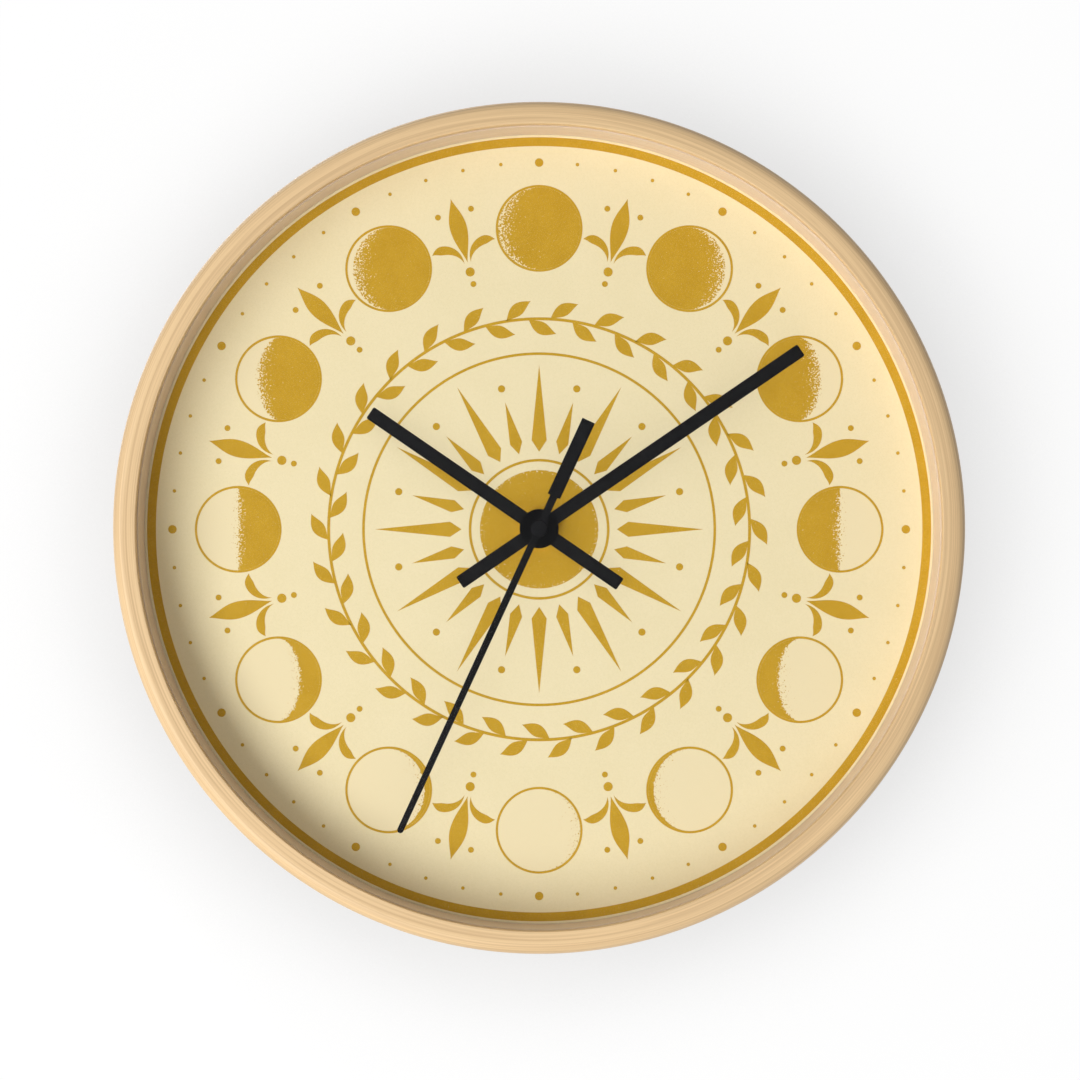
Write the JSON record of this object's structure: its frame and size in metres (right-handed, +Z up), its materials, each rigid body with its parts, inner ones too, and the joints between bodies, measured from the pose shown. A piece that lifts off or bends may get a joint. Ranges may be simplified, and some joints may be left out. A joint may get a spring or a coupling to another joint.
{
  "type": "moon phase wall clock",
  "caption": "Round wall clock with a wooden ring, clear lens, printed moon phase dial, bar hands and a quartz movement that hangs on a keyhole bracket.",
  "frame": {"origin": "the nail's axis at the top of the hanger's keyhole slot, in the plane of the wall", "axes": "+Z up, +X to the right as seen from the front, +Y into the wall; the dial faces -Y and the hands' axis is at x = 0, z = -0.050"},
  "size_m": [0.254, 0.045, 0.254],
  "materials": {
    "bamboo": "satin",
    "acrylic": "polished",
    "printed_paper": "matte",
    "hardboard": "matte",
    "zinc_steel": "satin",
    "black_rubber": "matte",
    "brass": "satin",
    "black_plastic": "satin",
    "white_plastic": "satin",
    "magnet": "satin",
    "bright_steel": "satin",
    "copper": "satin",
    "circuit": "satin",
    "cell_jacket": "satin",
    "black_hands": "matte"
  },
  "bodies": {
    "clock": {"wood_frame": "bamboo", "front_lens": "acrylic", "spacer_ring": "bamboo", "dial_sheet": "printed_paper", "backing_board": "hardboard", "board_clip_1": "zinc_steel", "board_clip_2": "zinc_steel", "board_clip_3": "zinc_steel", "board_clip_4": "zinc_steel", "clip_screw_1": "zinc_steel", "clip_screw_2": "zinc_steel", "clip_screw_3": "zinc_steel", "clip_screw_4": "zinc_steel", "hanger_bracket": "zinc_steel", "rubber_washer": "black_rubber", "dial_washer": "brass", "shaft_nut": "brass", "movement_case": "black_plastic", "movement_cover": "white_plastic", "middle_plate": "white_plastic", "stator": "bright_steel", "coil_core": "bright_steel", "coil_bobbin": "white_plastic", "coil_winding": "copper", "circuit_board": "circuit", "quartz_crystal": "bright_steel", "chip_blob": "black_plastic", "contact_plus": "bright_steel", "contact_minus": "bright_steel"},
    "seconds": {"second_hand": "black_hands", "second_wheel": "bright_steel"},
    "rotor_arbor": {"rotor": "magnet"},
    "intermediate_arbor": {"intermediate_wheel": "white_plastic"},
    "third_arbor": {"third_wheel": "white_plastic"},
    "centre": {"centre_wheel": "white_plastic"},
    "minutes": {"minute_hand": "black_hands", "cannon_pinion": "brass"},
    "motion_arbor": {"motion_wheel": "white_plastic"},
    "hours": {"hour_hand": "black_hands", "hour_wheel": "white_plastic"},
    "setting": {"setting_knob": "white_plastic"},
    "cell": {"battery": "cell_jacket"}
  },
  "joints": [
    {"name": "second_hand_spin", "type": "hinge", "parent": "clock", "child": "seconds", "pos_m": [0, -0.0355, -0.05], "axis": [0, 1, 0], "continuous": true},
    {"name": "rotor_spin", "type": "hinge", "parent": "clock", "child": "rotor_arbor", "pos_m": [0.01228, -0.007, -0.03903], "axis": [0, 1, 0], "continuous": true},
    {"name": "intermediate_spin", "type": "hinge", "parent": "clock", "child": "intermediate_arbor", "pos_m": [0.00745, -0.007, -0.04478], "axis": [0, 1, 0], "continuous": true},
    {"name": "third_spin", "type": "hinge", "parent": "clock", "child": "third_arbor", "pos_m": [-0.00886, -0.01, -0.04844], "axis": [0, 1, 0], "continuous": true},
    {"name": "centre_spin", "type": "hinge", "parent": "clock", "child": "centre", "pos_m": [0, -0.012, -0.05], "axis": [0, 1, 0], "continuous": true},
    {"name": "minute_hand_turn", "type": "hinge", "parent": "clock", "child": "minutes", "pos_m": [0, -0.0335, -0.05], "axis": [0, 1, 0], "continuous": true},
    {"name": "motion_wheel_turn", "type": "hinge", "parent": "clock", "child": "motion_arbor", "pos_m": [-0.00287, -0.0155, -0.04211], "axis": [0, 1, 0], "continuous": true},
    {"name": "hour_hand_turn", "type": "hinge", "parent": "clock", "child": "hours", "pos_m": [0, -0.0315, -0.05], "axis": [0, 1, 0], "continuous": true},
    {"name": "setting_knob_turn", "type": "hinge", "parent": "clock", "child": "setting", "pos_m": [-0.01049, -0.003, -0.03856], "axis": [0, 1, 0], "continuous": true},
    {"name": "battery_slide", "type": "slide", "parent": "clock", "child": "cell", "axis": [0, 1, 0], "range_m": [0, 0.025]}
  ],
  "couplings": [
    {"joint": "rotor_spin", "follows": "second_hand_spin", "ratio": 30},
    {"joint": "intermediate_spin", "follows": "second_hand_spin", "ratio": -6},
    {"joint": "third_spin", "follows": "second_hand_spin", "ratio": -0.125},
    {"joint": "centre_spin", "follows": "second_hand_spin", "ratio": 0.016667},
    {"joint": "motion_wheel_turn", "follows": "minute_hand_turn", "ratio": -0.33333},
    {"joint": "hour_hand_turn", "follows": "minute_hand_turn", "ratio": 0.083333},
    {"joint": "setting_knob_turn", "follows": "minute_hand_turn", "ratio": 1}
  ]
}
